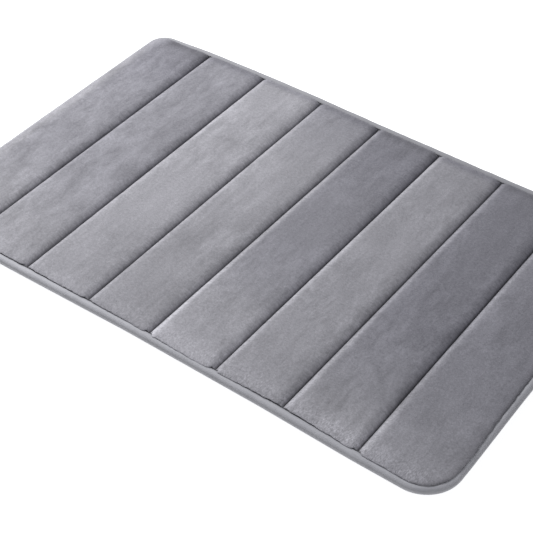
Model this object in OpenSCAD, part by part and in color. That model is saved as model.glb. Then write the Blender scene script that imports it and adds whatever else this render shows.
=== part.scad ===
// Quilted memory-foam bath mat: velvet over one foam slab, sewn down in straight channels,
// with a lining, a grip-dotted backing cloth and a tape bound round the edge.
// Millimetres. The origin is the middle of the underside, on the floor.
// +X runs along the mat, +Y across it, along the channel seams, and +Z up.

/* [Mat] */
// Length over the binding
mat_l = 700; // [560:1:900]
// Width over the binding
mat_w = 450; // [340:1:640]
// Radius of the four corners, at the outer edge
corner_r = 41; // [24:1:80]
// Number of padded panels between the two short edges
panels = 8; // [4:1:10]
// Left short edge to the first channel seam
first_panel_w = 86; // [50:0.5:120]
// Last channel seam to the right short edge
last_panel_w = 97; // [50:0.5:120]

/* [Velvet cover] */
// Thickness of the velvet with its pile standing
cover_t = 2.2; // [1.5:0.1:3.5]
// Thickness of the velvet where a seam or the tape presses its pile flat
cover_pressed_t = 1.5; // [0.8:0.1:2]
// Radius of a panel's shoulder where it turns down into a channel
channel_r = 6; // [3:0.5:9]
// Gap left between a channel's two walls
crease_w = 0.8; // [0.6:0.1:2]

/* [Foam and underside] */
// Thickness of the memory foam
foam_t = 7.5; // [6:0.5:14]
// Thickness of the foam where a channel seam pinches it
foam_pinched_t = 1.2; // [0.8:0.1:2]
// Thickness of the non-woven lining under the foam
lining_t = 0.5; // [0.3:0.1:1.5]
// Thickness of the backing cloth under the lining
backing_t = 0.5; // [0.3:0.1:1.5]
// Diameter of a grip dot where it is printed on the cloth
dot_d = 4; // [2.5:0.1:6]
// Distance between neighbouring grip dots
dot_pitch = 16; // [12:1:40]

/* [Edge binding] */
// Height of the bound edge
binding_h = 9.4; // [7.8:0.1:11.4]
// Thickness of the binding tape
tape_t = 0.9; // [0.7:0.1:1.3]
// Reach of the tape onto the top, from the outer edge
binding_top_w = 9.5; // [7:0.5:16]
// Reach of the tape's lower leg past the seam that holds it
binding_lap = 2.6; // [1:0.1:8]
// Gap between the tape's edge and the first shoulder of the velvet
ditch_w = 0.8; // [0.7:0.1:2]

/* [Sewing] */
// Diameter of the sewing thread
thread_d = 0.5; // [0.3:0.05:0.6]

/* [Hidden] */
$fn = 64;
fit = 0.05;           // clearance round a thread
past = 1;             // how far a cutting solid runs past what it cuts

// Heights of the layers, from the floor up
backing_z = tape_t;   // the mat lies level on its dots and on the tape's lower leg
lining_z = backing_z + backing_t;
foam_z = lining_z + lining_t;
foam_top = foam_z + foam_t;
cover_top = foam_top + cover_t;
web_z = foam_z + foam_pinched_t;      // bottom of the velvet in a channel
web_top = web_z + cover_pressed_t;    // top of the velvet in a channel
rim_top = binding_h - tape_t;         // top of the velvet under the tape
foam_rim_top = rim_top - cover_pressed_t;

// Channel seams along the length
pitch = (mat_l - first_panel_w - last_panel_w) / (panels - 2);
seam_x = [for (k = [0 : panels - 2]) first_panel_w - mat_l / 2 + k * pitch];

// The bound edge, measured inwards from the outer edge
edge_r = binding_h / 2;               // outer half-round of the tape
edge_in_r = edge_r - tape_t;          // inner half-round of the tape
ditch_in = binding_top_w + ditch_w;   // where the velvet's shoulder starts
seam_in = binding_top_w + ditch_w / 2;
binding_under_w = seam_in + binding_lap;
// How far in a flat-cut layer ends, so that its corner at height z stays inside the tape
function cut_in(z) = edge_r - sqrt(max(0, pow(edge_in_r, 2) - pow(z - edge_r, 2)));
foam_in = max(cut_in(foam_z), cut_in(foam_rim_top)) + fit;
lining_in = cut_in(lining_z) + fit;
flat_in = edge_r;                     // backing and velvet end at the half-round's centre

// Shoulder radii, which can't pass the wall that they round off
shoulder_r = min(channel_r, cover_top - web_top);
border_r = cover_top - rim_top;

velvet_grey = [0.56, 0.56, 0.59];
tape_grey = [0.53, 0.53, 0.55];
thread_grey = [0.30, 0.30, 0.33];
foam_cream = [0.93, 0.90, 0.80];
lining_white = [0.90, 0.90, 0.90];
cloth_grey = [0.62, 0.62, 0.64];
dot_clear = [0.84, 0.84, 0.85];

// Carries a half-section round the outline. The section's x = 0 is the corners' centre line
// and its x = corner_r is the outer edge.
module around() {
    side_l = mat_l - 2 * corner_r;
    side_w = mat_w - 2 * corner_r;
    for (turn = [0 : 3]) {
        long_way = turn % 2 == 1;
        run = long_way ? side_l : side_w;
        out = long_way ? side_w / 2 : side_l / 2;
        rotate([0, 0, 90 * turn]) {
            translate([out, run / 2, 0])
                rotate([90, 0, 0])
                    linear_extrude(run)
                        children();
            translate([out, run / 2, 0])
                rotate_extrude(angle = 90)
                    children();
        }
    }
}

// A slab of the mat's outline, filled between z0 and z1 inside the carried section
module slab(z0, z1) {
    translate([corner_r - mat_l / 2, corner_r - mat_w / 2, z0])
        cube([mat_l - 2 * corner_r, mat_w - 2 * corner_r, z1 - z0]);
    around()
        children();
}

// Half-section of a flat layer, cut square at a distance in from the outer edge
module flat_section(inset, z0, z1) {
    translate([0, z0])
        square([corner_r - inset, z1 - z0]);
}

// Half-section of a padded crown, with its outer top edge rounded
module crown_section(inset, z0, z1, r) {
    reach = corner_r - inset;
    translate([0, z0])
        square([reach, z1 - r - z0]);
    translate([0, z1 - r])
        square([reach - r, r]);
    translate([reach - r, z1 - r])
        intersection() {
            circle(r);
            square(r);
        }
}

// The tape's outline as a solid half-section, with its half-round towards the edge
module tape_outline(r, top_w, under_w) {
    translate([corner_r - edge_r, edge_r])
        intersection() {
            circle(r);
            translate([0, -r])
                square([r, 2 * r]);
        }
    translate([corner_r - top_w, edge_r])
        square([top_w - edge_r, r]);
    translate([corner_r - under_w, edge_r - r])
        square([under_w - edge_r, r]);
}

// What a channel seam removes: a narrow slot that flares over two round shoulders
module channels(gap, r, z0, top) {
    for (x = seam_x)
        translate([x, mat_w / 2 + past, 0])
            rotate([90, 0, 0])
                linear_extrude(mat_w + 2 * past) {
                    translate([-gap / 2, z0])
                        square([gap, top + past - z0]);
                    difference() {
                        translate([-gap / 2 - r, top - r])
                            square([gap + 2 * r, r + past]);
                        for (side = [-1, 1])
                            translate([side * (gap / 2 + r), top - r])
                                circle(r);
                    }
                }
}

module foam_body() {
    difference() {
        slab(foam_z, foam_top) {
            flat_section(foam_in, foam_z, foam_rim_top);
            crown_section(ditch_in + cover_t, foam_z, foam_top, max(border_r - cover_t, fit));
        }
        channels(crease_w + 2 * cover_t, max(shoulder_r - cover_t, fit), web_z, foam_top);
    }
}

// Memory foam: one slab, pinched at every channel and at the bound edge
module foam_core() {
    color(foam_cream)
        foam_body();
}

// Velvet: one sheet that follows the foam and goes down into every channel
module velvet_cover() {
    color(velvet_grey)
        difference() {
            slab(web_z, cover_top) {
                flat_section(flat_in, web_z, rim_top);
                crown_section(ditch_in, web_z, cover_top, border_r);
            }
            channels(crease_w, shoulder_r, web_top, cover_top);
            foam_body();
        }
}

module foam_lining() {
    color(lining_white)
        slab(lining_z, foam_z)
            flat_section(lining_in, lining_z, foam_z);
}

module backing_cloth() {
    color(cloth_grey)
        slab(backing_z, lining_z)
            flat_section(flat_in, backing_z, lining_z);
}

// True where a grip dot clears the tape and every channel's lower thread
function past_corner(x, y, r) =
    norm([max(0, abs(x) - mat_l / 2 + corner_r), max(0, abs(y) - mat_w / 2 + corner_r)]) > r;
function dot_fits(x, y) =
    !past_corner(x, y, corner_r - binding_under_w - dot_d)
    && min([for (s = seam_x) abs(x - s)]) > (dot_d + thread_d) / 2 + fit;

// Soft plastic dots printed on the backing cloth in staggered rows
module grip_dots() {
    row_h = dot_pitch * sin(60);
    rows = floor(mat_w / 2 / row_h);
    cols = floor(mat_l / 2 / dot_pitch);
    color(dot_clear)
        for (j = [-rows : rows], i = [-cols : cols]) {
            x = (i + (j % 2 == 0 ? 0 : 0.5)) * dot_pitch;
            y = j * row_h;
            if (dot_fits(x, y))
                translate([x, y, 0])
                    cylinder(h = backing_z, d1 = 0.7 * dot_d, d2 = dot_d, $fn = 24);
        }
}

// Binding tape, folded round the cut edges of all the layers.
// A fine groove under its lower leg holds the bobbin thread.
module edge_binding() {
    color(tape_grey)
        around()
            difference() {
                tape_outline(edge_r, binding_top_w, binding_under_w);
                tape_outline(edge_in_r, binding_top_w + past, binding_under_w + past);
                translate([corner_r - seam_in - thread_d / 2 - fit, -past])
                    square([thread_d + 2 * fit, thread_d + 2 * fit + past]);
            }
}

// Threads of the binding's lockstitch: one in the ditch, one under the tape's lower leg
module binding_thread(z) {
    color(thread_grey)
        around()
            translate([corner_r - seam_in, z])
                circle(d = thread_d, $fn = 24);
}

// A channel's thread, lying straight across the mat
module channel_thread(k, z, reach_in) {
    color(thread_grey)
        translate([seam_x[k - 1], mat_w / 2 - reach_in, z])
            rotate([90, 0, 0])
                cylinder(h = mat_w - 2 * reach_in, d = thread_d, $fn = 24);
}

velvet_cover();
foam_core();
foam_lining();
backing_cloth();
grip_dots();
edge_binding();
binding_thread(rim_top + thread_d / 2);  // binding_needle_thread
binding_thread(thread_d / 2 + fit);  // binding_bobbin_thread
for (k = [1 : panels - 1]) {
    channel_thread(k, web_top + thread_d / 2, edge_r);
    channel_thread(k, backing_z - thread_d / 2, binding_under_w + fit);
}
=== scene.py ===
"""Quilted bath mat: brushed velvet over memory foam, sewn in straight channels, with a bound edge.

Every length is in metres. +X runs along the mat, +Y along the channel seams and +Z up.
"""
from math import cos, floor, pi, radians, sin

import bpy
import numpy as np
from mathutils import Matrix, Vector


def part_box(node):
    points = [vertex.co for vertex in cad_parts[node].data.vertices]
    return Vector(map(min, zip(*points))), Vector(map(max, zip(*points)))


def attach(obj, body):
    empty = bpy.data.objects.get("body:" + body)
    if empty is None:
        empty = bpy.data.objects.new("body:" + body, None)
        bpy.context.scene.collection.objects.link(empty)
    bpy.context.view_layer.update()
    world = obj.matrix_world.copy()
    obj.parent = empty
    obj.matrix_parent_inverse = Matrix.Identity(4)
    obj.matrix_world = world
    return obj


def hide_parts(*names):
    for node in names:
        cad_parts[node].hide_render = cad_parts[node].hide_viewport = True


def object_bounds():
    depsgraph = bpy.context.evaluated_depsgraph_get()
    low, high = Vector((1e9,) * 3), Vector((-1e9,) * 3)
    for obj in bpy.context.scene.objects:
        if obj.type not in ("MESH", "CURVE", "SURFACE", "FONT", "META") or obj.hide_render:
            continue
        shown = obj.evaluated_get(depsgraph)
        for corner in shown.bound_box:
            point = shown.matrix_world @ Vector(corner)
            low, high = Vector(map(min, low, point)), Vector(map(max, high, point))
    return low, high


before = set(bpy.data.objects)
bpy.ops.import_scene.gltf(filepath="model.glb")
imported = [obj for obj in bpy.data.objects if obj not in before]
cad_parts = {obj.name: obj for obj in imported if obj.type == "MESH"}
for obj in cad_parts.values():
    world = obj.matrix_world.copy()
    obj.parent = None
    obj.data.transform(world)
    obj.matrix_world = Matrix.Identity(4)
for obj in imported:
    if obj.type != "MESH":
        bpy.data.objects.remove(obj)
cad_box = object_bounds()

MM = 0.001

# ---- Sizes taken from the frame ----

PANEL_SEAMS = 7
HALF_L = cad_box[1][0]
HALF_W = cad_box[1][1]
TOP = cad_box[1][2]
SEAMS = [sum(c[0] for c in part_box(f"channel_needle_thread_{k}")) / 2 for k in range(1, PANEL_SEAMS + 1)]
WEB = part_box("channel_needle_thread_1")[0].z           # top of the velvet in a channel
WEB_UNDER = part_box("velvet_cover")[0].z                # its underside there
BINDING_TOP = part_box("edge_binding")[1].z
SEAM_IN = HALF_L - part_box("binding_needle_thread")[1].x + 0.25 * MM    # middle of the binding's seam
FLAT_IN = HALF_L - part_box("backing_cloth")[1].x
FOAM_IN = HALF_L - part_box("foam_core")[1].x
LINING_IN = HALF_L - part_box("foam_lining")[1].x
BACKING_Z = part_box("backing_cloth")[0].z
LINING_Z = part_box("foam_lining")[0].z
FOAM_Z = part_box("foam_core")[0].z

# ---- Sizes that the frame's boxes don't hold ----

CORNER_R = 41 * MM        # outer radius of the four corners
TAPE_T = 0.9 * MM         # binding tape
LAP_IN = 12.5 * MM        # reach of the tape's lower leg from the outer edge
COVER_T = 2.2 * MM        # the velvet's pile, standing
GROUND_T = 0.9 * MM       # the velvet's ground cloth
LAYER_GAP = 0.05 * MM     # left between one layer and the next
GRID_IN = 24 * MM         # where the straight grid ends and the border rings begin
THREAD_R = 0.25 * MM
STITCH = 3 * MM           # length of one stitch
DOT_D = 4 * MM
DOT_PITCH = 16 * MM
DOT_RIM = 0.35 * MM       # height of a dot's straight side, below its dome

# ---- The padded shape ----

CREASE = 0.4 * MM         # half the gap between the two walls of a channel
RUN = 10.5 * MM           # how far a panel's shoulder reaches in from its crease
BORDER_RUN = 7.5 * MM     # how far the border shoulder reaches in from the ditch
DITCH_IN = 9.7 * MM       # where the velvet comes out from under the tape
DITCH_Z = 7.9 * MM        # top of the velvet there
DIP = 0.9 * MM            # how much lower it is where a channel runs out there
TUCK = 1.2 * MM           # how much lower the velvet lies once it is under the tape
WALL_IN = SEAM_IN + THREAD_R + LAYER_GAP    # where it rises out of the ditch, past the stitches
PANEL_TOP = TOP - 0.3 * MM                  # top of the velvet along the shoulders of a panel
CROWN = 0.4 * MM          # how much higher a panel stands along its middle line


def mm(*values):
    """Millimetres as metres."""
    return [value * MM for value in values]


def between(table, i, j, u, v):
    """The value a share u and v of the way past place (i, j) of a table that repeats for ever."""
    corner = lambda over, up: table[(i + over) % table.shape[0], (j + up) % table.shape[1]]
    low = corner(0, 0) * (1 - u) + corner(1, 0) * u
    high = corner(0, 1) * (1 - u) + corner(1, 1) * u
    return low * (1 - v) + high * v


def noise(x, y, seed):
    """Smooth values from -1 to 1, one random value per unit square, the same on every run."""
    table = np.random.default_rng(seed).uniform(-1, 1, (256, 256))
    xi, yi = np.floor(x).astype(int), np.floor(y).astype(int)
    fx, fy = x - xi, y - yi
    return between(table, xi, yi, fx * fx * (3 - 2 * fx), fy * fy * (3 - 2 * fy))


def ease(t):
    """Rises from 0 to 1 as a quarter of an ellipse, steep first and level last."""
    t = np.clip(t, 0, 1)
    return np.sqrt(1 - (1 - t) ** 2)


def bell(distance, width):
    """1 at no distance, and falling away to nothing over about twice the width."""
    return np.exp(-(distance / width) ** 2)


def inset_of(x, y):
    """Distance in from the mat's outer edge."""
    dx, dy = np.abs(x) - (HALF_L - CORNER_R), np.abs(y) - (HALF_W - CORNER_R)
    outside = np.hypot(np.maximum(dx, 0), np.maximum(dy, 0))
    return CORNER_R - outside - np.minimum(np.maximum(dx, dy), 0)


def way_out(x, y):
    """The straight way out to the mat's edge from places near it, turning with the corners."""
    cx = np.clip(x, CORNER_R - HALF_L, HALF_L - CORNER_R)
    cy = np.clip(y, CORNER_R - HALF_W, HALF_W - CORNER_R)
    out = np.stack([x - cx, y - cy], -1)
    return out / np.maximum(np.linalg.norm(out, axis=1), 1e-9)[:, None]


def seam_distance(x):
    """Distance to the nearest channel seam, and that seam's number."""
    gaps = np.abs(np.asarray(x)[..., None] - np.array(SEAMS))
    return gaps.min(-1), gaps.argmin(-1)


def panel_place(x):
    """Number of the panel at x, and the place across it from -1 to 1."""
    edges = np.array([GRID_IN - HALF_L - 8 * MM] + SEAMS + [HALF_L - GRID_IN + 8 * MM])
    k = np.clip(np.searchsorted(edges, x) - 1, 0, len(edges) - 2)
    middle, half = (edges[k] + edges[k + 1]) / 2, (edges[k + 1] - edges[k]) / 2
    return k, np.clip((x - middle) / half, -1, 1)


def squares(number):
    """The faces between the numbered points of a grid."""
    return np.stack([number[:-1, :-1], number[1:, :-1], number[1:, 1:], number[:-1, 1:]], -1).reshape(-1, 4)


def put(name, data):
    """Puts an object into the scene."""
    thing = bpy.data.objects.new(name, data)
    bpy.context.scene.collection.objects.link(thing)
    return thing


def settle():
    """Sews a sheet of cloth down along the channels and the border, lets soft padding press it up
    from below for twenty frames, and returns how far it rose."""
    offsets = mm(0, 2, 4.5, 8, 14, 22, 30)
    xs = []
    for k, x in enumerate(SEAMS):
        left = SEAMS[k - 1] if k else DITCH_IN - HALF_L
        right = SEAMS[k + 1] if k + 1 < len(SEAMS) else HALF_L - DITCH_IN
        xs += [x - o for o in offsets[1:] if x - o > (x + left) / 2]
        xs += [x + o for o in offsets if x + o < (x + right) / 2]
    xs += [DITCH_IN - HALF_L + o for o in offsets[:-1]] + [HALF_L - DITCH_IN - o for o in offsets[:-1]]
    xs = np.array(sorted(xs))
    ys = np.linspace(DITCH_IN - HALF_W, HALF_W - DITCH_IN, 97)
    x, y = np.meshgrid(xs, ys, indexing="ij")
    inset = np.minimum(HALF_L - np.abs(x), HALF_W - np.abs(y))
    sewn = ease(seam_distance(x)[0] / RUN)
    level = DITCH_Z + (PANEL_TOP - DITCH_Z) * ease((inset - DITCH_IN) / BORDER_RUN)
    z = WEB + (level - WEB) * sewn
    co = np.stack([x, y, z], -1).reshape(-1, 3)
    mesh = bpy.data.meshes.new("settling")
    mesh.from_pydata(co.tolist(), [], squares(np.arange(x.size).reshape(x.shape)).tolist())
    cloth = put("settling", mesh)
    held = (seam_distance(x)[0] < 0.5 * MM) | (inset < DITCH_IN + 0.5 * MM)
    group = cloth.vertex_groups.new(name="sewn")
    group.add([int(n) for n in np.flatnonzero(held.ravel())], 1.0, "REPLACE")
    modifier = cloth.modifiers.new("Cloth", "CLOTH")
    settings = modifier.settings
    settings.quality = 4
    settings.use_pressure = True
    settings.uniform_pressure_force = 4.0
    settings.tension_stiffness = 25
    settings.compression_stiffness = 12
    settings.bending_stiffness = 0.3
    settings.shrink_min = -0.015
    settings.vertex_group_mass = "sewn"
    settings.effector_weights.gravity = 0
    modifier.collision_settings.use_collision = False
    for step in range(1, 21):
        bpy.context.scene.frame_set(step)
    seen = cloth.evaluated_get(bpy.context.evaluated_depsgraph_get())
    after = np.empty(len(co) * 3)
    seen.data.vertices.foreach_get("co", after)
    bpy.data.objects.remove(cloth)
    bpy.context.scene.frame_set(1)
    rise = (after.reshape(-1, 3) - co)[:, 2].reshape(x.shape)
    return evened(xs, ys, rise)


def evened(xs, ys, rise):
    """The rise on an even grid, smoothed so that the sheet's own mesh doesn't show."""
    even_x = np.arange(-HALF_L, HALF_L, RISE_STEP)
    even_y = np.arange(-HALF_W, HALF_W, RISE_STEP)
    part = np.stack([np.interp(even_x, xs, column) for column in rise.T], 1)
    even = np.stack([np.interp(even_y, ys, row) for row in part])
    for axis in (0, 1):
        for _ in range(3):
            even = (np.roll(even, 1, axis) + even + np.roll(even, -1, axis)) / 3
    return RISE_CAP * np.tanh(RISE_SHARE * even / RISE_CAP)


def risen(x, y):
    """How far the settled cloth rose at a place."""
    if SETTLED is None:
        return np.zeros_like(x)
    i, j = (x + HALF_L) / RISE_STEP, (y + HALF_W) / RISE_STEP
    i = np.clip(i, 0, SETTLED.shape[0] - 1.001)
    j = np.clip(j, 0, SETTLED.shape[1] - 1.001)
    return between(SETTLED, i.astype(int), j.astype(int), i % 1, j % 1)


RISE_STEP = 2 * MM
RISE_SHARE = 0.22         # how much of the simulated rise the finished mat shows
RISE_CAP = 1.1 * MM
SETTLED = settle()


def padding(x, y):
    """How the foam's lumps and the seams' puckers lift the velvet."""
    inset = inset_of(x, y)
    inner = 1 - bell(inset - DITCH_IN, 7 * MM)
    lumps = 0.20 * noise(x / (31 * MM), y / (47 * MM), 1) + 0.10 * noise(x / (11 * MM), y / (14 * MM), 2)
    gap, seam = seam_distance(x)
    side = np.sign(x - np.array(SEAMS)[seam])
    pull = noise(y / (6.5 * MM), seam * 2.0 + side, 3) + 0.5 * noise(y / (3.4 * MM), seam * 2.0 + side, 4)
    puckers = 0.22 * pull * bell(gap, 10 * MM)
    along = np.where(np.abs(y) / HALF_W > np.abs(x) / HALF_L, x, y)
    edge_pull = noise(along / (5.5 * MM), np.sign(y) + 2 * np.sign(x), 5)
    edge_puckers = 0.30 * edge_pull * bell(inset - DITCH_IN - 3 * MM, 5 * MM)
    return (inner * (lumps + puckers) + edge_puckers) * MM + inner * risen(x, y)


def crest(x, y, inset):
    """Top of the velvet between the channels."""
    place = panel_place(x)[1]
    crown = CROWN * (1 - place ** 2) * ease((inset - DITCH_IN) / (40 * MM))
    return DITCH_Z + (PANEL_TOP - DITCH_Z) * ease((inset - WALL_IN) / BORDER_RUN) + crown + padding(x, y)


def velvet_back(x, y, inset):
    """Underside of the velvet between the channels, its pile flattened towards the tape."""
    return crest(x, y, inset) - COVER_T * ease((inset - DITCH_IN + 5 * MM) / (6 * MM)) - GROUND_T


def web(inset):
    """Top of the velvet at the bottom of a channel, which comes up as it runs out under the tape."""
    rise = 1 - ease((inset - DITCH_IN) / (9 * MM))
    return WEB + (DITCH_Z - DIP - WEB) * rise


# How far each channel wandered from its line as it was sewn: at its front end and its back end
SEAM_SWAY = ((0.7, -0.5), (1.0, -0.6), (2.2, 1.8), (-0.6, 2.2), (-0.4, 2.0), (-2.6, 0.4), (0.9, 0.0))
# How far each edge of the soft mat lies out of straight: places along it, and shifts to +Y or +X there
FRONT_LIE = ((-350, -200, -90, -30, 150, 250, 350), (-4.0, -3.2, -0.6, 0.9, 0.9, -1.1, -0.6))
BACK_LIE = ((-350, -312, -284, -258, -210, -160, -90, 0, 350),
            (-5.8, -5.2, -2.2, -0.6, 0.5, 1.3, 1.4, 0.0, 0.0))
WIDE_END_LIE = ((-225, -165, -80, 50, 225), (0.7, 1.3, 0.4, 0.0, 0.0))
FULL_CORNER_R = 25 * MM   # the back corner at the narrow end, which is eased out tighter than the others


def fuller_corner(x, y):
    """Draws the rounded back corner at the narrow end out to a tighter one."""
    cx, cy = CORNER_R - HALF_L, HALF_W - CORNER_R
    across, along = np.maximum(cx - x, 0), np.maximum(y - cy, 0)
    reach = np.hypot(across, along)
    inside = (across > 0) & (along > 0)
    turn = np.arctan2(along, np.where(inside, across, 1))
    ca, sa = np.cos(turn), np.sin(turn)
    shift = CORNER_R - FULL_CORNER_R
    reach_in = shift * (ca + sa)
    round_part = reach_in + np.sqrt(np.maximum(reach_in ** 2 - 2 * shift ** 2 + FULL_CORNER_R ** 2, 0))
    straight = CORNER_R / np.maximum(np.maximum(ca, sa), 0.5)
    on_arc = (CORNER_R * np.minimum(ca, sa) / np.maximum(ca, sa)) > shift
    drawn = reach * np.where(on_arc, round_part, straight) / CORNER_R
    return np.where(inside, cx - drawn * ca, x), np.where(inside, cy + drawn * sa, y)


def edge_lie(at, table):
    """The shift of an edge at a place along it, with the table's corners rounded off."""
    places, shifts = np.array(table[0]) * MM, table[1]
    return sum(np.interp(at + step * MM, places, shifts) for step in (-12, -6, 0, 6, 12)) / 5 * MM


def lie(co):
    """The lie of the whole mat: the channels' sway, and edges that aren't quite straight."""
    co = np.array(co, float)
    co[:, 0], co[:, 1] = fuller_corner(co[:, 0], co[:, 1])
    x, y = co[:, :2].T.copy()
    front = np.clip(0.5 - y / (2 * HALF_W), 0, 1)
    still = GRID_IN - HALF_L
    knots = [still] + SEAMS + [-still]
    sway = [np.interp(x, knots, [0] + [pair[end] for pair in SEAM_SWAY] + [0]) for end in (0, 1)]
    co[:, 0] += (sway[0] * front + sway[1] * (1 - front)) * MM
    co[:, 0] += edge_lie(y, WIDE_END_LIE) * np.clip(x / HALF_L, 0, 1) ** 3
    co[:, 1] += edge_lie(x, FRONT_LIE) * front ** 2 + edge_lie(x, BACK_LIE) * (1 - front) ** 3
    return co


# ---- Meshes ----


def only(obj):
    """Selects this object and nothing else."""
    bpy.ops.object.select_all(action="DESELECT")
    bpy.context.view_layer.objects.active = obj
    obj.select_set(True)


def edit_all(operator, **settings):
    """Runs one edit mode operator on the whole of the selected object."""
    bpy.ops.object.mode_set(mode="EDIT")
    bpy.ops.mesh.select_all(action="SELECT")
    operator(**settings)
    bpy.ops.object.mode_set(mode="OBJECT")


def new_piece(name, co, faces):
    """A mesh object at the origin with its faces outwards."""
    mesh = bpy.data.meshes.new(name)
    mesh.from_pydata([tuple(p) for p in co], [], faces)
    mesh.validate()
    piece = put(name, mesh)
    only(piece)
    edit_all(bpy.ops.mesh.normals_make_consistent, inside=False)
    if sum(face.center.dot(face.normal) * face.area for face in mesh.polygons) < 0:
        edit_all(bpy.ops.mesh.flip_normals)
    bpy.ops.object.shade_smooth()
    piece.select_set(False)
    return piece


def spread(start, end, step):
    """Evenly spaced values from start to end, with an even count of gaps."""
    count = max(1, round((end - start) / step / 2)) * 2
    return list(np.linspace(start, end, count + 1))


CORNER_STEP = 1.7 * MM    # between the grid's lines where they run into the corners


def across_lines(gap, run, step, turn=10):
    """Lines across the mat: where each lies in x, and how far up a shoulder it lies, from 0 to 1."""
    edge = HALF_L - GRID_IN
    corner = CORNER_R - GRID_IN
    lines = [(x, 1.0) for x in spread(-edge, -edge + corner, CORNER_STEP)[:-1]]
    angles = np.linspace(0, pi / 2, turn + 1)
    starts = [-edge + corner] + [s + gap + run for s in SEAMS]
    ends = [s - gap - run for s in SEAMS] + [edge - corner]
    for k, (start, end) in enumerate(zip(starts, ends)):
        lines += [(x, 1.0) for x in spread(start, end, step)]
        if k < len(SEAMS):
            lines += [(SEAMS[k] - gap - run * (1 - cos(a)), sin(a)) for a in angles[-2::-1]]
            lines.append((SEAMS[k], 0.0))
            lines += [(SEAMS[k] + gap + run * (1 - cos(a)), sin(a)) for a in angles[:-1]]
    lines += [(x, 1.0) for x in spread(edge - corner, edge, CORNER_STEP)[1:]]
    return lines


def along_lines(step):
    """Lines along the mat, closer together where the corners turn."""
    edge = HALF_W - GRID_IN
    corner = CORNER_R - GRID_IN
    fine = spread(-edge, -edge + corner, CORNER_STEP)
    return fine[:-1] + spread(-edge + corner, edge - corner, step) + [-v for v in fine[-2::-1]]


def round_corners(x, y):
    """Draws the square corners of the grid in to the arcs of the mat's own corners."""
    r = CORNER_R - GRID_IN
    cx, cy = HALF_L - CORNER_R, HALF_W - CORNER_R
    u, v = np.maximum(np.abs(x) - cx, 0) / r, np.maximum(np.abs(y) - cy, 0) / r
    both = (u > 0) & (v > 0)
    x2 = np.sign(x) * (cx + r * u * np.sqrt(1 - v * v / 2))
    y2 = np.sign(y) * (cy + r * v * np.sqrt(1 - u * u / 2))
    return np.where(both, x2, x), np.where(both, y2, y)


def layer(lines, rows, insets, height):
    """One layer of the mat: a straight grid inside, and rings that follow the edge outside it.
    Returns its points, its faces and the numbers of the points on its outermost ring."""
    xs, rise = np.array(lines).T
    x, y = round_corners(*np.meshgrid(xs, rows, indexing="ij"))
    lift = np.broadcast_to(rise[:, None], x.shape)
    nx, ny = x.shape
    number = np.arange(nx * ny).reshape(nx, ny)
    loop = np.concatenate([number[:, 0], number[-1, 1:], number[-2::-1, -1], number[0, -2:0:-1]])
    px, py, pr = [x.ravel()], [y.ravel()], [lift.ravel()]
    bx, by, br = px[0][loop], py[0][loop], pr[0][loop]
    out = way_out(bx, by)
    rings, count, before = [], nx * ny, loop
    for inset in insets:
        px.append(bx + out[:, 0] * (GRID_IN - inset))
        py.append(by + out[:, 1] * (GRID_IN - inset))
        pr.append(br)
        ring = count + np.arange(len(loop))
        rings.append(np.stack([np.roll(before, -1), before, ring, np.roll(ring, -1)], -1))
        count, before = count + len(loop), ring
    x, y, r = np.concatenate(px), np.concatenate(py), np.concatenate(pr)
    return np.stack([x, y, height(x, y, r)], -1), np.concatenate([squares(number)] + rings), before


def closed_slab(name, upper, lower, skip=1):
    """Joins an upper layer to a lower one with a wall round the edge. The lower layer has every
    skip-th line, so a wall face takes in the upper points between two lower ones."""
    co_up, faces_up, edge_up = upper
    co_low, faces_low, edge_low = lower
    base = len(co_up)
    faces = [tuple(f) for f in faces_up.tolist()]
    faces += [tuple(base + n for n in reversed(f)) for f in faces_low.tolist()]
    for n, low in enumerate(edge_low):
        top = [int(edge_up[(n * skip + m) % len(edge_up)]) for m in range(skip, -1, -1)]
        faces.append((*top, base + int(low), base + int(edge_low[(n + 1) % len(edge_low)])))
    return new_piece(name, np.concatenate([co_up, co_low]), faces)


# How far the velvet's soft shoulder leans out over the tape: places along each edge, and the lean there
FRONT_LEAN = ((-350, -200, -150, -100, -50, 0, 30, 60, 90, 120, 150, 200, 230, 260, 290, 350),
              (2.6, 2.6, 2.4, 3.1, 3.1, 4.8, 5.6, 6.4, 5.0, 3.2, 2.2, 2.4, 3.3, 4.3, 5.6, 5.2))
WIDE_END_LEAN = ((-225, -190, -175, -145, -110, -60, 225), (5.5, 6.5, 8.0, 8.0, 5.6, 4.4, 4.0))
NARROW_END_LEAN = ((-225, 225), (6.8, 6.8))
BACK_LEAN = ((-350, -300, 350), (5.0, 1.9, 1.9))


def lean_at(x, y, out):
    """How far the shoulder leans out at a place, given the way out from there."""
    side = np.where(y < 0, edge_lie(x, FRONT_LEAN), edge_lie(x, BACK_LEAN))
    end = np.where(x > 0, edge_lie(y, WIDE_END_LEAN), edge_lie(y, NARROW_END_LEAN))
    return side * out[:, 1] ** 2 + end * out[:, 0] ** 2


def lean_out(co):
    """Leans the border shoulder of the velvet out over the tape, with its pile uneven. Only what
    stands higher than the tape leans, so the channels run in under it."""
    co = co.copy()
    x, y = co[:, :2].T.copy()
    out = way_out(x, y)
    past = inset_of(x, y) - DITCH_IN
    lean = lean_at(x, y, out)
    share = np.clip((past - 0.1 * lean) / (0.17 * lean), 0, 1)
    share = np.minimum(share, np.clip((co[:, 2] - BINDING_TOP + 0.6 * MM) / (0.6 * MM), 0, 1))
    share *= bell(np.maximum(past - 0.27 * lean, 0), 2 * MM + 0.9 * lean)
    pile = 0.5 * noise(x / (3.1 * MM), y / (3.1 * MM), 21) + 0.3 * noise(x / (9 * MM), y / (9 * MM), 22)
    co[:, :2] += out * ((lean + pile * MM) * share)[:, None]
    return co


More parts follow.
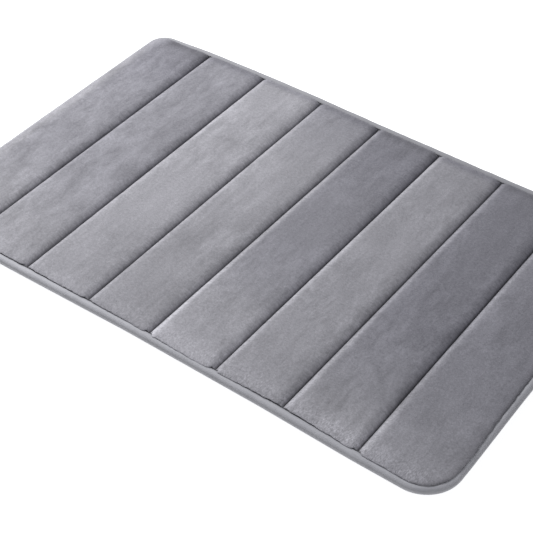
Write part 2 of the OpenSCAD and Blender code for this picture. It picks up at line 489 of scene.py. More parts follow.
# Rings of the velvet's border, upper side and under side: how far in from the outer edge each lies
UPPER_RINGS = mm(20.5, 18.2, 16.4, 14.9, 13.7, 12.7, 11.9, 11.4, 11.0, 10.7, 10.45, 10.35, 10.0, 9.4, 8.4,
                 6.4)
LOWER_RINGS = mm(19.4, 16.0, 13.5, 12.0, 11.0, 10.0, 8.0)


def velvet_cover():
    """The velvet: one cloth that goes over the foam, down into each channel and out under the tape."""
    lines = across_lines(CREASE, RUN, 3.3 * MM)
    rows = along_lines(2.5 * MM)

    def top(x, y, rise):
        inset = inset_of(x, y)
        low = web(inset)
        tucked = TUCK * ease((DITCH_IN - 0.2 * MM - inset) / (0.8 * MM))
        return low + (crest(x, y, inset) - low) * rise - tucked

    def under(x, y, rise):
        inset = inset_of(x, y)
        low = web(inset) - (WEB - WEB_UNDER)
        return low + np.maximum(velvet_back(x, y, inset) - low, 0) * rise

    low_lines = across_lines(CREASE + COVER_T, RUN - COVER_T, 3.3 * MM)[::2]
    upper = layer(lines, rows, UPPER_RINGS + [FLAT_IN], top)
    lower = layer(low_lines, rows[::2], LOWER_RINGS + [FLAT_IN], under)
    before_leaning = np.concatenate([upper[0], lower[0]])
    upper = (lean_out(upper[0]), *upper[1:])
    piece = closed_slab("velvet_cover_cloth", upper, lower, 2)
    add_painted_light(piece, before_leaning)
    return piece


# Painted light and shade of each panel's pile at its front end, middle and back end: above 1 it lies to the
# light and is painted lighter, below 1 painted darker
PANEL_PAINTED_LIGHT = ((1.52, 1.12, 0.85), (1.40, 1.12, 1.12), (1.42, 1.40, 1.40), (1.31, 1.34, 1.12),
             (1.60, 1.06, 0.88), (1.30, 1.27, 1.25), (1.36, 0.94, 0.91), (1.24, 1.00, 1.03))
# How much lighter the wide-end side of each channel is painted: a painted highlight where its shoulder faces
# the light
LIP_PAINTED_HIGHLIGHT = (0.0, 0.0, 0.05, 0.30, 0.18, 0.20, 0.15)


def add_painted_light(piece, co):
    """Stores on the velvet its painted light and shade: how light each panel's pile is painted, painted shade
    in the seams and along the tape, painted highlights, and the shoulders beside the seams.
    """
    x, y, _ = co.T
    panel = panel_place(x)[0]
    # Painted light and shade of each panel, from its front end through its middle to its back end
    front, middle, back = np.array(PANEL_PAINTED_LIGHT)[panel].T
    place = np.clip(y / (HALF_W - GRID_IN), -1, 1)
    nap = middle + np.where(place < 0, (front - middle) * place ** 2, (back - middle) * place ** 2)
    gap, seam = seam_distance(x)
    inset = inset_of(x, y)
    past_seam = x - np.array(SEAMS)[seam]
    at_wide_end = np.clip((x - HALF_L + 45 * MM) / (20 * MM), 0, 1)
    at_narrow_end = np.clip((-x - HALF_L + 30 * MM) / (12 * MM), 0, 1)
    # Painted shade in the creases of the seams and along the tape, wider at the wide end, which lies in the
    # shade of the light
    crushed = np.maximum(0.72 * bell(gap, 1.6 * MM), bell(inset - DITCH_IN, (0.95 + 2.0 * at_wide_end) * MM))
    # Painted shade along the back border's shoulder, which turns from the light, and painted highlights on
    # the narrow end's shoulder and beside each seam, which face it
    away = bell(inset - 13 * MM, 8 * MM) * (y > 0) * (np.abs(x) < HALF_L - GRID_IN)
    narrow_end_highlight = bell(inset - 14.5 * MM, 4.5 * MM) * at_narrow_end
    lip_highlight = np.array(LIP_PAINTED_HIGHLIGHT)[seam] * bell(past_seam - 4.5 * MM, 4 * MM)
    nap = nap * (1 - 0.26 * away) * (1 + 0.33 * narrow_end_highlight) * (1 + lip_highlight)
    # Painted highlight on the pile at the panels' front ends, brighter towards the wide end, and on the rise
    # beside each seam
    front_end = bell(np.maximum(y + HALF_W - 14 * MM, 0), 15 * MM)
    frost = front_end * (0.3 + 0.5 * np.clip(x / HALF_L + 0.4, 0, 1))
    frost = np.maximum(frost, 0.55 * bell(past_seam - 4.5 * MM, 3 * MM))
    shoulder = bell(gap, 9 * MM)
    for name, values in (("nap", nap), ("crushed", crushed), ("frost", frost), ("shoulder", shoulder)):
        attribute = piece.data.attributes.new(name, "FLOAT", "POINT")
        attribute.data.foreach_set("value", values.astype(np.float32))


def foam_core():
    """The foam: one slab under the velvet, pinched at every channel and at the edge."""
    lines = across_lines(CREASE + COVER_T, RUN - COVER_T, 6 * MM, turn=6)
    rows = along_lines(7 * MM)

    def top(x, y, rise):
        inset = inset_of(x, y)
        low = web(inset) - (WEB - WEB_UNDER) - 0.3 * MM
        slack = (0.3 + 0.45 * (1 - ease((inset - DITCH_IN) / (8 * MM)))) * MM
        return low + np.maximum(velvet_back(x, y, inset) - slack - low, 0) * rise

    def under(x, y, rise):
        return FOAM_Z + dimple(x)

    outer = FOAM_IN + 0.6 * MM
    upper = layer(lines, rows, mm(19, 15, 12.5, 11.4, 10.6, 10.2, 8, 5) + [outer], top)
    lower = layer(lines, rows, [14 * MM, 8 * MM, outer], under)
    return closed_slab("foam_slab", upper, lower)


def dimple(x):
    """How far a channel's thread draws the underside up."""
    return 0.45 * MM * bell(seam_distance(x)[0], 2.6 * MM)


def flat_cloth(name, z, thickness, inset):
    """A flat cloth of the mat's outline, drawn up a little along each channel."""
    edge, corner = HALF_L - GRID_IN, CORNER_R - GRID_IN
    offsets = mm(-7, -4.5, -3, -1.8, -0.9, 0, 0.9, 1.8, 3, 4.5, 7)
    xs = spread(-edge, -edge + corner, 2.8 * MM)[:-1]
    starts = [-edge + corner] + [s + offsets[-1] for s in SEAMS]
    ends = [s + offsets[0] for s in SEAMS] + [edge - corner]
    for k, (start, end) in enumerate(zip(starts, ends)):
        xs += spread(start, end, 9 * MM)
        if k < len(SEAMS):
            xs += [SEAMS[k] + o for o in offsets[1:-1]]
    xs += spread(edge - corner, edge, 2.8 * MM)[1:]
    lines = [(x, 1.0) for x in xs]
    rows = along_lines(9 * MM)
    rings = [16 * MM, 8 * MM, inset]

    def face(level):
        return lambda x, y, rise: level + dimple(x) + 0.04 * MM * noise(x / (13 * MM), y / (17 * MM), 8)

    upper = layer(lines, rows, rings, face(z + thickness))
    return closed_slab(name, upper, layer(lines, rows, rings, face(z)))


def travelled(points):
    """How far along their line each of the points is."""
    return np.concatenate([[0], np.cumsum(np.linalg.norm(np.diff(points, axis=0), axis=1))])


def stations(step, turn):
    """Points round the mat's outer edge: place, outward direction and distance travelled."""
    places = []
    a, b = HALF_L - CORNER_R, HALF_W - CORNER_R
    corners = np.array([(a, -b), (a, b), (-a, b), (-a, -b)])
    for start, end, facing in zip(corners, np.roll(corners, -1, 0), (0, 90, 180, 270)):
        way = np.array([cos(radians(facing)), sin(radians(facing))])
        count = round(np.linalg.norm(end - start) / step)
        places += [(start + (end - start) * n / count + way * CORNER_R, way) for n in range(count)]
        for n in range(turn):
            angle = radians(facing + 90 * n / turn)
            way = np.array([cos(angle), sin(angle)])
            places.append((end + way * CORNER_R, way))
    point = np.array([p for p, w in places])
    way = np.array([w for p, w in places])
    return point, way, travelled(point)


def tape_section(top):
    """The tape's section as a loop of (inset, z): from the upper hem down round the outside to the
    lower hem, and back along the inside. A groove underneath takes the lower stitches."""
    half = BINDING_TOP / 2
    fine, coarse = np.linspace(0, pi / 2, 7), np.linspace(0, pi / 2, 5)[1:]
    outer = [(SEAM_IN - 0.55 * MM, top - 1.55 * MM), (SEAM_IN - 1.2 * MM, top - 1.02 * MM),
             (7.4 * MM, top - 0.55 * MM), (6.0 * MM, top - 0.17 * MM)]
    outer += [(half - half * sin(a), half + (top - half) * cos(a)) for a in fine]
    outer += [(half - half * cos(a), half - half * sin(a)) for a in fine[1:]]
    outer += [(7 * MM, 0), (SEAM_IN - 0.55 * MM, 0), (SEAM_IN - 0.3 * MM, 0.5 * MM),
              (SEAM_IN + 0.3 * MM, 0.5 * MM), (SEAM_IN + 0.55 * MM, 0), (LAP_IN - 1.2 * MM, 0),
              (LAP_IN - 0.3 * MM, 0.12 * MM), (LAP_IN, 0.45 * MM)]
    inner_r = half - TAPE_T
    inner = [(LAP_IN - 0.3 * MM, TAPE_T - 0.02 * MM), (9 * MM, TAPE_T), (half, TAPE_T)]
    inner += [(half - inner_r * sin(a), half - inner_r * cos(a)) for a in coarse]
    inner += [(half - inner_r * cos(a), half + (top - half - TAPE_T) * sin(a)) for a in coarse]
    inner += [(7.2 * MM, top - 1.5 * MM), (SEAM_IN - 1.1 * MM, top - 2.0 * MM)]
    return np.array(outer + inner)


TAPE_STEP = 2.6 * MM      # between the tape's sections along a straight edge


def edge_binding():
    """The binding: a tape folded round the cut edges, with a soft roll and small gathers."""
    point, way, gone = stations(TAPE_STEP, 26)
    section = tape_section(BINDING_TOP - 0.15 * MM)
    count, size = len(point), len(section)
    total = gone[-1]
    wave = noise(gone / (19 * MM), 0 * gone, 11) * 0.22 + noise(gone / (7 * MM), 0 * gone, 12) * 0.13
    wave *= np.clip(np.minimum(gone, total - gone) / (12 * MM), 0, 1)
    high = np.clip(section[:, 1] / BINDING_TOP, 0, 1)
    inset = section[:, 0] - wave[:, None] * MM * 0.35 * high
    z = section[:, 1] + wave[:, None] * MM * high ** 2
    gather = noise(gone / (2.9 * MM), np.ones(count), 13)
    near_ditch = bell(section[:, 0] - SEAM_IN, 2.4 * MM) * (section[:, 1] > BINDING_TOP / 2)
    z = z + gather[:, None] * near_ditch * 0.16 * MM
    sink = bell(seam_distance(point[:, 0])[0], 5 * MM) * (np.abs(way[:, 1]) > 0.9)
    z = z - sink[:, None] * near_ditch * 0.35 * MM
    x = point[:, 0, None] - way[:, 0, None] * inset
    y = point[:, 1, None] - way[:, 1, None] * inset
    co = np.stack([x, y, np.maximum(z, 0)], -1).reshape(-1, 3)
    number = np.arange(count * size).reshape(count, size)
    after, beside = np.roll(number, -1, 0), np.roll(number, -1, 1)
    faces = np.stack([number, after, np.roll(after, -1, 1), beside], -1).reshape(-1, 4).tolist()
    piece = new_piece("edge_binding_tape", co, faces)
    put_tape_map(piece, count, size, gone, travelled(np.vstack([section, section[:1]])))
    return piece


def put_tape_map(piece, count, size, gone, round_it):
    """Gives the tape a map in metres: along its length, and across it."""
    along = np.append(gone, gone[-1] + TAPE_STEP)
    layer_uv = piece.data.uv_layers.new(name="tape")
    for polygon in piece.data.polygons:
        corners = [divmod(v, size) for v in polygon.vertices]
        last_i = {i for i, j in corners} == {0, count - 1}
        last_j = {j for i, j in corners} == {0, size - 1}
        for loop, (i, j) in zip(polygon.loop_indices, corners):
            u = along[count] if last_i and i == 0 else along[i]
            v = round_it[size] if last_j and j == 0 else round_it[j]
            layer_uv.data[loop].uv = (u, v)


# ---- Threads and dots ----


def pick_faces(obj, test):
    """Leaves obj in edit mode with only those faces selected whose centre and normal pass the test."""
    only(obj)
    bpy.ops.object.mode_set(mode="EDIT")
    bpy.ops.mesh.select_mode(type="FACE")
    bpy.ops.mesh.select_all(action="DESELECT")
    bpy.ops.object.mode_set(mode="OBJECT")
    for face in obj.data.polygons:
        face.select = test(face.center, face.normal)
    bpy.ops.object.mode_set(mode="EDIT")


def draw_out(obj, test, move, narrow, centre):
    """Extrudes the faces that pass the test, and narrows their new end."""
    pick_faces(obj, test)
    bpy.ops.mesh.extrude_region_move(TRANSFORM_OT_translate={"value": move})
    bpy.ops.transform.resize(value=narrow, center_override=centre)
    bpy.ops.object.mode_set(mode="OBJECT")


def lay_down(piece):
    """Gives a piece made flat and straight the mat's own lie."""
    co = np.empty(len(piece.data.vertices) * 3)
    piece.data.vertices.foreach_get("co", co)
    piece.data.vertices.foreach_set("co", lie(co.reshape(-1, 3)).ravel())
    piece.data.update()


def one_stitch(drop):
    """One stitch of thread along +X. Its two ends turn into the cloth and get thinner."""
    bpy.ops.object.select_all(action="DESELECT")
    bpy.ops.mesh.primitive_cylinder_add(vertices=6, radius=THREAD_R, depth=STITCH * 0.5,
                                        rotation=(0, pi / 2, 0), location=(STITCH / 2, 0, 0))
    stitch = bpy.context.object
    bpy.ops.object.transform_apply(location=True, rotation=True, scale=False)
    for side in (-1, 1):
        at_end = lambda centre, normal: normal.x * side > 0.9
        x = STITCH * (0.5 + side * 0.4)
        draw_out(stitch, at_end, (side * STITCH * 0.15, 0, -drop * 0.35), (1, 0.9, 0.9), (x, 0, -drop * 0.35))
        x = STITCH * (0.5 + side * 0.49)
        draw_out(stitch, at_end, (side * STITCH * 0.09, 0, -drop * 0.65), (1, 0.65, 0.65), (x, 0, -drop))
    return stitch


def path(name, points, closed):
    """A line for stitches to follow."""
    data = bpy.data.curves.new(name, "CURVE")
    data.dimensions = "3D"
    data.twist_mode = "Z_UP"
    spline = data.splines.new("POLY")
    spline.points.add(len(points) - 1)
    spline.points.foreach_set("co", np.pad(points, ((0, 0), (0, 1)), constant_values=1).ravel())
    spline.use_cyclic_u = closed
    return put(name, data)


def stitch_row(name, stitch, points, closed=False):
    """Copies of one stitch, end to end along a line."""
    points = np.array(points)
    ends = np.concatenate([points, points[:1]]) if closed else points
    length = np.linalg.norm(np.diff(ends, axis=0), axis=1).sum()
    count = round(length / STITCH)
    row = put(name, stitch.data.copy())
    line = path(name + "_path", points, closed)
    only(row)
    array = row.modifiers.new("repeat", "ARRAY")
    array.count = count
    array.use_relative_offset, array.use_constant_offset = False, True
    array.constant_offset_displace = (STITCH, 0, 0)
    bpy.ops.object.modifier_apply(modifier="repeat")
    edit_all(bpy.ops.transform.resize, value=(length / (count * STITCH), 1, 1), center_override=(0, 0, 0))
    follow = row.modifiers.new("follow", "CURVE")
    follow.object = line
    bpy.ops.object.modifier_apply(modifier="follow")
    bpy.ops.object.shade_smooth()
    row.select_set(False)
    bpy.data.objects.remove(line)
    lay_down(row)
    return row


def channel_threads(upper, lower):
    """The needle thread and the bobbin thread of each channel."""
    rows = []
    reach, under_reach = HALF_W - DITCH_IN - 0.5 * MM, HALF_W - LAP_IN - 0.5 * MM
    ys = np.linspace(-reach, reach, 120)
    for k, x in enumerate(SEAMS, 1):
        heights = web(inset_of(np.full(len(ys), x), ys)) + THREAD_R
        needle = stitch_row(f"channel_needle_stitches_{k}", upper, [(x, y, z) for y, z in zip(ys, heights)])
        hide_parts(f"channel_needle_thread_{k}")
        low = BACKING_Z + dimple(np.array([x]))[0] - THREAD_R
        ends = [(x, -under_reach, low), (x, under_reach, low)]
        bobbin = stitch_row(f"channel_bobbin_stitches_{k}", lower, ends)
        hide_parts(f"channel_bobbin_thread_{k}")
        rows += [needle, bobbin]
    return rows


def binding_threads(upper, lower):
    """The lockstitch that holds the tape: needle thread in the ditch, bobbin thread underneath."""
    point, way, _ = stations(4 * MM, 24)
    line = point - way * SEAM_IN
    height = np.full((len(line), 1), DITCH_Z + THREAD_R * 1.1)
    needle = stitch_row("binding_needle_stitches", upper, np.hstack([line, height]), True)
    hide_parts("binding_needle_thread")
    bobbin = stitch_row("binding_bobbin_stitches", lower, np.hstack([line, height * 0 + THREAD_R]), True)
    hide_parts("binding_bobbin_thread")
    return [needle, bobbin]


def dot_places():
    """Staggered rows of dots, clear of the tape and of the channels' lower threads."""
    row_h = DOT_PITCH * sin(radians(60))
    rows, cols = floor(HALF_W / row_h), floor(HALF_L / DOT_PITCH)
    places = []
    for j in range(-rows, rows + 1):
        for i in range(-cols, cols + 1):
            x, y = (i + (0.5 if j % 2 else 0)) * DOT_PITCH, j * row_h
            clear = inset_of(np.array(x), np.array(y)) >= LAP_IN + DOT_D
            if clear and min(abs(x - s) for s in SEAMS) > (DOT_D + 0.5 * MM) / 2 + 0.05 * MM:
                places.append((x, y))
    return places


def grip_dots():
    """Soft plastic domes printed on the backing cloth, with their tips to the floor."""
    bpy.ops.object.select_all(action="DESELECT")
    bpy.ops.mesh.primitive_cylinder_add(vertices=12, radius=DOT_D / 2, depth=DOT_RIM,
                                        location=(0, 0, BACKING_Z - DOT_RIM / 2))
    dot = bpy.context.object
    bpy.ops.object.transform_apply(location=True, rotation=False, scale=False)
    down = lambda centre, normal: normal.z < -0.9
    z = BACKING_Z - DOT_RIM
    for drop, narrow in ((0.25, 0.93), (0.2, 0.82), (0.08, 0.6)):
        z -= drop * MM
        draw_out(dot, down, (0, 0, -drop * MM), (narrow, narrow, 1), (0, 0, z))
    copies = []
    for n, (x, y) in enumerate(dot_places()):
        twin = put(f"dot_{n}", dot.data.copy())
        twin.location = (x, y, 0)
        copies.append(twin)
    bpy.data.objects.remove(dot)
    bpy.ops.object.select_all(action="DESELECT")
    for twin in copies:
        twin.select_set(True)
    piece = copies[0]
    piece.name = "grip_dot_domes"
    bpy.context.view_layer.objects.active = piece
    bpy.ops.object.join()
    bpy.ops.object.transform_apply(location=True, rotation=False, scale=False)
    bpy.ops.object.shade_smooth_by_angle(angle=radians(50))
    piece.select_set(False)
    lay_down(piece)
    return piece


# ---- Materials ----


def linear(hex_colour):
    """An sRGB hex colour as linear RGBA."""
    parts = [int(hex_colour[n:n + 2], 16) / 255 for n in (0, 2, 4)]
    return tuple(c / 12.92 if c <= 0.04045 else ((c + 0.055) / 1.055) ** 2.4 for c in parts) + (1.0,)


def add(tree, kind, inputs=None, **settings):
    """Adds a node with its settings. An input takes a value, or a node or an output to be linked."""
    node = tree.nodes.new("ShaderNode" + kind)
    for name, value in settings.items():
        setattr(node, name, value)
    for name, value in (inputs or {}).items():
        if isinstance(value, bpy.types.Node):
            value = value.outputs[0]
        if isinstance(value, bpy.types.NodeSocket):
            tree.links.new(value, node.inputs[name])
        else:
            node.inputs[name].default_value = value
    return node


def start_material(name, colour, **shader):
    """A new material with one Principled shader, its fixed values set on the shader's own sockets."""
    material = bpy.data.materials.new(name)
    material.use_nodes = True
    tree = material.node_tree
    tree.nodes.clear()
    values = {key.replace("_", " "): value for key, value in shader.items()}
    principled = add(tree, "BsdfPrincipled", {"Base Color": linear(colour), **values})
    add(tree, "OutputMaterial", {"Surface": principled})
    return material, tree, principled


def shaded(tree, patterns, shade=None):
    """A shade or a mask made of patterns, each one multiplying those before it. A pattern is a value,
    its lowest and highest reading, what these give, and at will a mask for how much it counts."""
    for value, (low, high), (shade_low, shade_high), *mask in patterns:
        part = add(tree, "MapRange", {"Value": value, "From Min": low, "From Max": high,
                                      "To Min": shade_low, "To Max": shade_high})
        if mask:
            part = add(tree, "Mix", {0: mask[0], 2: 1.0, 3: part}, clamp_factor=False)
        shade = part if shade is None else add(tree, "Math", {0: shade, 1: part}, operation="MULTIPLY")
    return shade


def surface(tree, shader, shade, bumps, colour=None):
    """Gives the shader its own colour, or another, made lighter or darker by shade, and bumps: each a
    height, its depth in millimetres and its strength, the broadest first."""
    colour = colour or tuple(shader.inputs["Base Color"].default_value)[:3]
    scaled = add(tree, "VectorMath", {0: colour, "Scale": shade}, operation="SCALE")
    tree.links.new(scaled.outputs[0], shader.inputs["Base Color"])
    below = {}
    for height, depth, strength in bumps:
        normal = add(tree, "Bump", {"Height": height, "Distance": depth * MM, "Strength": strength, **below})
        below = {"Normal": normal}
    tree.links.new(normal.outputs[0], shader.inputs["Normal"])


def every(millimetres):
    """Texture scale for a grain of so many millimetres."""
    return 1000 / millimetres


def bands(millimetres):
    """Wave texture scale for one band in so many millimetres."""
    return 1000 * pi / (10 * millimetres)


def brushed_polyester_velvet():
    """Short cut pile, brushed by hand. It gives the eye broad soft patches where the pile lies one way or the
    other, streaks along the channels and small clumps of tufts; it has painted shade in the seams and along
    the tape, and painted highlights on the panels' front ends and beside the seams."""
    material, tree, shader = start_material(
        "brushed polyester velvet", "95949a", Roughness=0.9, Specular_IOR_Level=0.12, Sheen_Weight=0.45,
        Sheen_Roughness=0.4, Sheen_Tint=linear("e8e7ee"))
    at = add(tree, "TexCoord").outputs["Object"]
    nap, crushed, frost, shoulder = [
        add(tree, "Attribute", attribute_name=name, attribute_type="GEOMETRY").outputs["Fac"]
        for name in ("nap", "crushed", "frost", "shoulder")]
    along, streaks_at, ticks_at, fibres_at = [
        add(tree, "Mapping", {"Vector": at, "Scale": scale})
        for scale in ((1, 0.45, 1), (1, 0.08, 1), (0.16, 1, 0.16), (1, 0.4, 1))]
    # Single tufts stand about 0.3 mm apart, too fine to show; drawn at 1.4 mm
    stirred, blotches, patches, swirls, streaks, clumps, tufts, ticks, fibres = [
        add(tree, "TexNoise", {"Vector": vector, "Scale": every(size), "Detail": detail, "Roughness": rough,
                               "Distortion": drawn})
        for vector, size, detail, rough, drawn in (
            (at, 150, 1.0, 0.5, 0.0), (along, 48, 2.0, 0.5, 0.8), (along, 21, 2.0, 0.5, 0.5),
            (along, 8, 3.0, 0.6, 0.8), (streaks_at, 7, 2.0, 0.5, 0.0), (at, 3.2, 3.0, 0.7, 0.0),
            (at, 1.4, 2.0, 0.65, 0.0), (ticks_at, 2.4, 1.0, 0.5, 0.0), (fibres_at, 1.3, 2.0, 0.6, 0.0))]
    calm = shaded(tree, [(stirred, (0.4, 0.6), (0.3, 1.0))])
    # The narrow end has been handled most, so its patches show most
    place = add(tree, "SeparateXYZ", {"Vector": at}).outputs["X"]
    handled = shaded(tree, [(place, (-0.13, -0.21), (0.0, 1.1))])
    calm = add(tree, "Math", {0: calm, 1: handled}, operation="MAXIMUM")
    layers = ((blotches, 0.08), (patches, 0.12, calm), (swirls, 0.12, calm), (streaks, 0.05), (clumps, 0.14),
              (tufts, 0.15), (ticks, 0.13, shoulder), (fibres, 0.36, frost))
    shade = shaded(tree, [(texture, (0.28, 0.72), (1 - swing, 1 + swing), *mask)
                          for texture, swing, *mask in layers], nap)
    # Painted shade in the creases, made patchy by the clumps
    uneven = shaded(tree, [(clumps, (0.3, 0.7), (0.65, 1.2))])
    pressed = add(tree, "Math", {0: crushed, 1: uneven}, operation="MULTIPLY", use_clamp=True)
    # Painted highlight: the front ends and the sides beside the seams are painted up to a quarter lighter
    shade = shaded(tree, [(pressed, (0, 1), (1.0, 0.28)), (frost, (0, 1), (1.0, 1.26))], shade)
    # Panels painted lighter take the more neutral colour and panels painted darker the more violet one, so
    # the painted light and shade reach the colour too
    light = shaded(tree, [(nap, (0.95, 1.3), (0.0, 1.0))])
    painted_light_tint = add(tree, "Mix", {0: light, 6: linear("93929a"), 7: linear("96959a")}, data_type="RGBA")
    bumps = [(swirls, 0.8, 0.25), (clumps, 0.6, 0.6), (tufts, 0.3, 0.7)]
    surface(tree, shader, shade, bumps, painted_light_tint.outputs[2])
    return material


def brushed_knit_tape():
    """Stretchy tape with a brushed face. It gives the eye a fine rib across it and a little fuzz, with a
    painted highlight along the top of the roll and painted shade down its side and along the back."""
    material, tree, shader = start_material(
        "brushed polyester knit tape", "a9a9ae", Roughness=0.65, Specular_IOR_Level=0.35, Sheen_Weight=0.4,
        Sheen_Roughness=0.35, Sheen_Tint=linear("e6e6ea"))
    at = add(tree, "UVMap", uv_map="tape")
    body = add(tree, "TexCoord").outputs["Object"]
    # Ribs of a knit tape are about 0.5 mm apart, too fine to show; drawn at 1.1 mm
    rib = add(tree, "TexWave", {"Vector": at, "Scale": bands(1.1), "Distortion": 1.5, "Detail": 1.0,
                                "Detail Scale": 3.0}).outputs["Fac"]
    fuzz = add(tree, "TexNoise", {"Vector": body, "Scale": every(2.2), "Detail": 3.0, "Roughness": 0.6})
    wear = add(tree, "TexNoise", {"Vector": at, "Scale": every(24), "Detail": 2.0})
    place = add(tree, "SeparateXYZ", {"Vector": body}).outputs
    # Painted highlight along the top of the roll and painted shade down its side, set by height
    shade = add(tree, "MapRange", {"Value": place["Z"], "From Min": 6.5 * MM, "From Max": 9.3 * MM,
                                   "To Min": 0.78, "To Max": 1.28}, interpolation_type="SMOOTHSTEP")
    # Painted light: the tape is painted lighter along the front and darker along the back
    shade = shaded(tree, [(place["Y"], (-0.2, 0.2), (1.14, 0.82)), (rib, (0, 1), (0.96, 1.03)),
                          (fuzz, (0.3, 0.7), (0.95, 1.05)), (wear, (0.3, 0.7), (0.96, 1.04))], shade)
    surface(tree, shader, shade, [(rib, 0.12, 0.35), (fuzz, 0.15, 0.35)])
    return material


def memory_foam():
    """Slow polyurethane foam, cast and slit: cream and matt, with fine open cells."""
    material, tree, shader = start_material(
        "open-cell polyurethane memory foam", "ece3c9", Roughness=0.95, Specular_IOR_Level=0.2,
        Subsurface_Weight=0.08, Subsurface_Scale=0.003)
    at = add(tree, "TexCoord").outputs["Object"]
    # Cells are about 0.4 mm across, too fine to show; drawn at 1.4 mm
    cells = add(tree, "TexVoronoi", {"Vector": at, "Scale": every(1.4)})
    grain = add(tree, "TexNoise", {"Vector": at, "Scale": every(6), "Detail": 3.0})
    shade = shaded(tree, [(cells, (0, 0.6), (0.86, 1.03)), (grain, (0.3, 0.7), (0.96, 1.03))])
    surface(tree, shader, shade, [(cells, 0.3, 0.6)])
    return material


def white_nonwoven():
    """Spunbonded lining: white matted fibres, held by a grid of tiny pressed bond points."""
    material, tree, shader = start_material(
        "spunbonded polypropylene lining", "e6e6e4", Roughness=0.8, Specular_IOR_Level=0.3)
    at = add(tree, "TexCoord").outputs["Object"]
    drawn = add(tree, "Mapping", {"Vector": at, "Scale": (1, 0.17, 1)})
    fibres = add(tree, "TexNoise", {"Vector": drawn, "Scale": every(0.8), "Detail": 3.0, "Roughness": 0.7,
                                    "Distortion": 1.2})
    # Bond points are about 1 mm apart; drawn at 1.8 mm
    bonds = add(tree, "TexVoronoi", {"Vector": at, "Scale": every(1.8), "Randomness": 0.1})
    shade = shaded(tree, [(fibres, (0.3, 0.7), (0.93, 1.03)), (bonds, (0, 0.5), (0.9, 1.0))])
    surface(tree, shader, shade, [(bonds, 0.12, 0.6)])
    return material


def knitted_backing():
    """Warp-knitted base cloth: fine wales along the mat, crossed by rows of loops."""
    material, tree, shader = start_material(
        "warp-knitted polyester backing", "a3a3a8", Roughness=0.85, Specular_IOR_Level=0.25,
        Sheen_Weight=0.1)
    at = add(tree, "TexCoord").outputs["Object"]
    # Wales and loops are about 0.8 and 1 mm apart; drawn at twice that
    wales = add(tree, "TexWave", {"Vector": at, "Scale": bands(1.6), "Distortion": 0.8, "Detail": 1.0},
                bands_direction="Y").outputs["Fac"]
    loops = add(tree, "TexWave", {"Vector": at, "Scale": bands(2.0), "Distortion": 0.8, "Detail": 1.0},
                bands_direction="X").outputs["Fac"]
    knit = add(tree, "Math", {0: wales, 1: loops}, operation="MULTIPLY")
    fade = add(tree, "TexNoise", {"Vector": at, "Scale": every(40), "Detail": 3.0})
    shade = shaded(tree, [(knit, (0, 1), (0.86, 1.08)), (fade, (0.3, 0.7), (0.95, 1.05))])
    surface(tree, shader, shade, [(knit, 0.2, 0.6)])
    return material


def soft_dot_plastic():
    """Printed thermoplastic rubber: milky, a little see-through, with a satin skin."""
    material, tree, shader = start_material(
        "translucent thermoplastic rubber", "d9dadc", Roughness=0.38, IOR=1.5, Subsurface_Weight=0.3,
        Subsurface_Scale=0.002, Coat_Weight=0.15, Coat_Roughness=0.3)
    at = add(tree, "TexCoord").outputs["Object"]
    milky = add(tree, "TexNoise", {"Vector": at, "Scale": every(2.5), "Detail": 2.0})
    shade = shaded(tree, [(milky, (0.3, 0.7), (0.93, 1.04))])
    surface(tree, shader, shade, [(milky, 0.05, 0.5)])
    return material


def twisted_thread():
    """Three-ply polyester sewing thread, spun and dyed a shade darker than the cloth. Its plies
    show as slanting stripes."""
    material, tree, shader = start_material(
        "twisted polyester sewing thread", "5d5d64", Roughness=0.5, Specular_IOR_Level=0.4,
        Sheen_Weight=0.2)
    at = add(tree, "UVMap", uv_map="UVMap")
    parts = add(tree, "SeparateXYZ", {"Vector": at})
    around, along = parts.outputs["X"], parts.outputs["Y"]
    turned = add(tree, "Math", {0: along, 1: 6.0, 2: around}, operation="MULTIPLY_ADD")
    angle = add(tree, "Math", {0: turned, 1: 6 * pi}, operation="MULTIPLY")
    ply = add(tree, "Math", {0: angle}, operation="SINE")
    shade = shaded(tree, [(ply, (-1, 1), (0.8, 1.12))])
    surface(tree, shader, shade, [(ply, 0.06, 0.7)])
    return material


def finish(piece, material):
    """Puts a material on a piece and lets it ride with the mat."""
    piece.data.materials.clear()
    piece.data.materials.append(material)
    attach(piece, "root")


# ---- Floor, light and camera ----


def studio_floor():
    """A wide, pale, evenly lit floor."""
    bpy.ops.object.select_all(action="DESELECT")
    bpy.ops.mesh.primitive_circle_add(vertices=64, radius=20, fill_type="NGON", location=(0, 0, -0.2 * MM))
    ground = bpy.context.object
    ground.name = "studio_floor"
    ground.data.materials.append(start_material(
        "white studio floor", "f4f4f4", Roughness=0.9, Specular_IOR_Level=0.1,
        Emission_Color=linear("ffffff"), Emission_Strength=0.68)[0])
    ground.select_set(False)


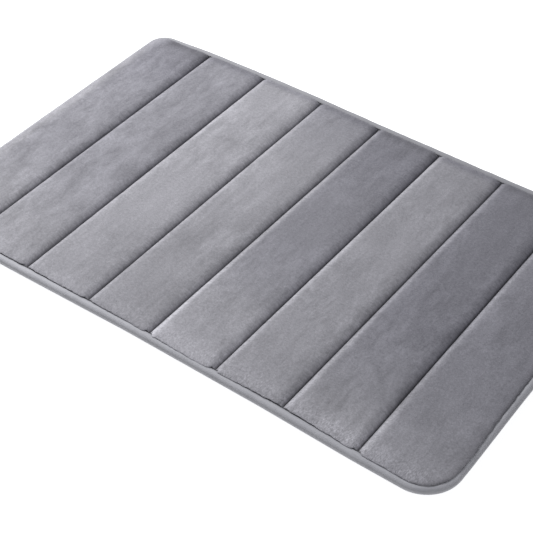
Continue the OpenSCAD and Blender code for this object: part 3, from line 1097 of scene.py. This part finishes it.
def studio_light():
    """One large soft box off the mat's narrow end, and a pale room round it."""
    data = bpy.data.lights.new("soft_box", "AREA")
    data.shape = "RECTANGLE"
    data.size, data.size_y = 0.7, 0.9
    data.energy = 14.0
    lamp = put("soft_box", data)
    lamp.location = (-1.05, 0.28, 0.82)
    lamp.rotation_euler = (Vector((-0.05, 0, 0)) - lamp.location).to_track_quat("-Z", "Y").to_euler()
    world = bpy.data.worlds.new("pale_room")
    bpy.context.scene.world = world
    world.use_nodes = True
    background = world.node_tree.nodes["Background"].inputs
    background["Color"].default_value = linear("f3f4f8")
    background["Strength"].default_value = 0.42


def camera():
    """A long lens from above the front corner at the wide end."""
    data = bpy.data.cameras.new("camera")
    data.sensor_width = 36
    data.lens = 92.76
    azimuth, elevation = radians(36.56), radians(43.21)
    eye = put("camera", data)
    eye.location = (0.6808, -0.9363, 1.0305)
    eye.rotation_euler = (pi / 2 - elevation, 0, azimuth)
    bpy.context.scene.camera = eye


# ---- The mat ----

camera()
studio_light()
studio_floor()
bpy.context.scene.view_settings.view_transform = "Standard"

velvet = velvet_cover()
finish(velvet, brushed_polyester_velvet())
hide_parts("velvet_cover")

foam = foam_core()
finish(foam, memory_foam())
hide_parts("foam_core")

lining = flat_cloth("foam_lining_cloth", LINING_Z, FOAM_Z - LINING_Z - LAYER_GAP, LINING_IN + 0.3 * MM)
finish(lining, white_nonwoven())
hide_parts("foam_lining")

backing = flat_cloth("backing_cloth_knit", BACKING_Z, LINING_Z - BACKING_Z - LAYER_GAP, FLAT_IN)
finish(backing, knitted_backing())
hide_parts("backing_cloth")

tape = edge_binding()
finish(tape, brushed_knit_tape())
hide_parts("edge_binding")

dots = grip_dots()
finish(dots, soft_dot_plastic())
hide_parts("grip_dots")

for cloth in (velvet, foam, lining, backing, tape):
    lay_down(cloth)

thread = twisted_thread()
needle_stitch, bobbin_stitch = one_stitch(0.3 * MM), one_stitch(-0.3 * MM)
for row in channel_threads(needle_stitch, bobbin_stitch) + binding_threads(needle_stitch, bobbin_stitch):
    finish(row, thread)
for model in (needle_stitch, bobbin_stitch):
    bpy.data.objects.remove(model)
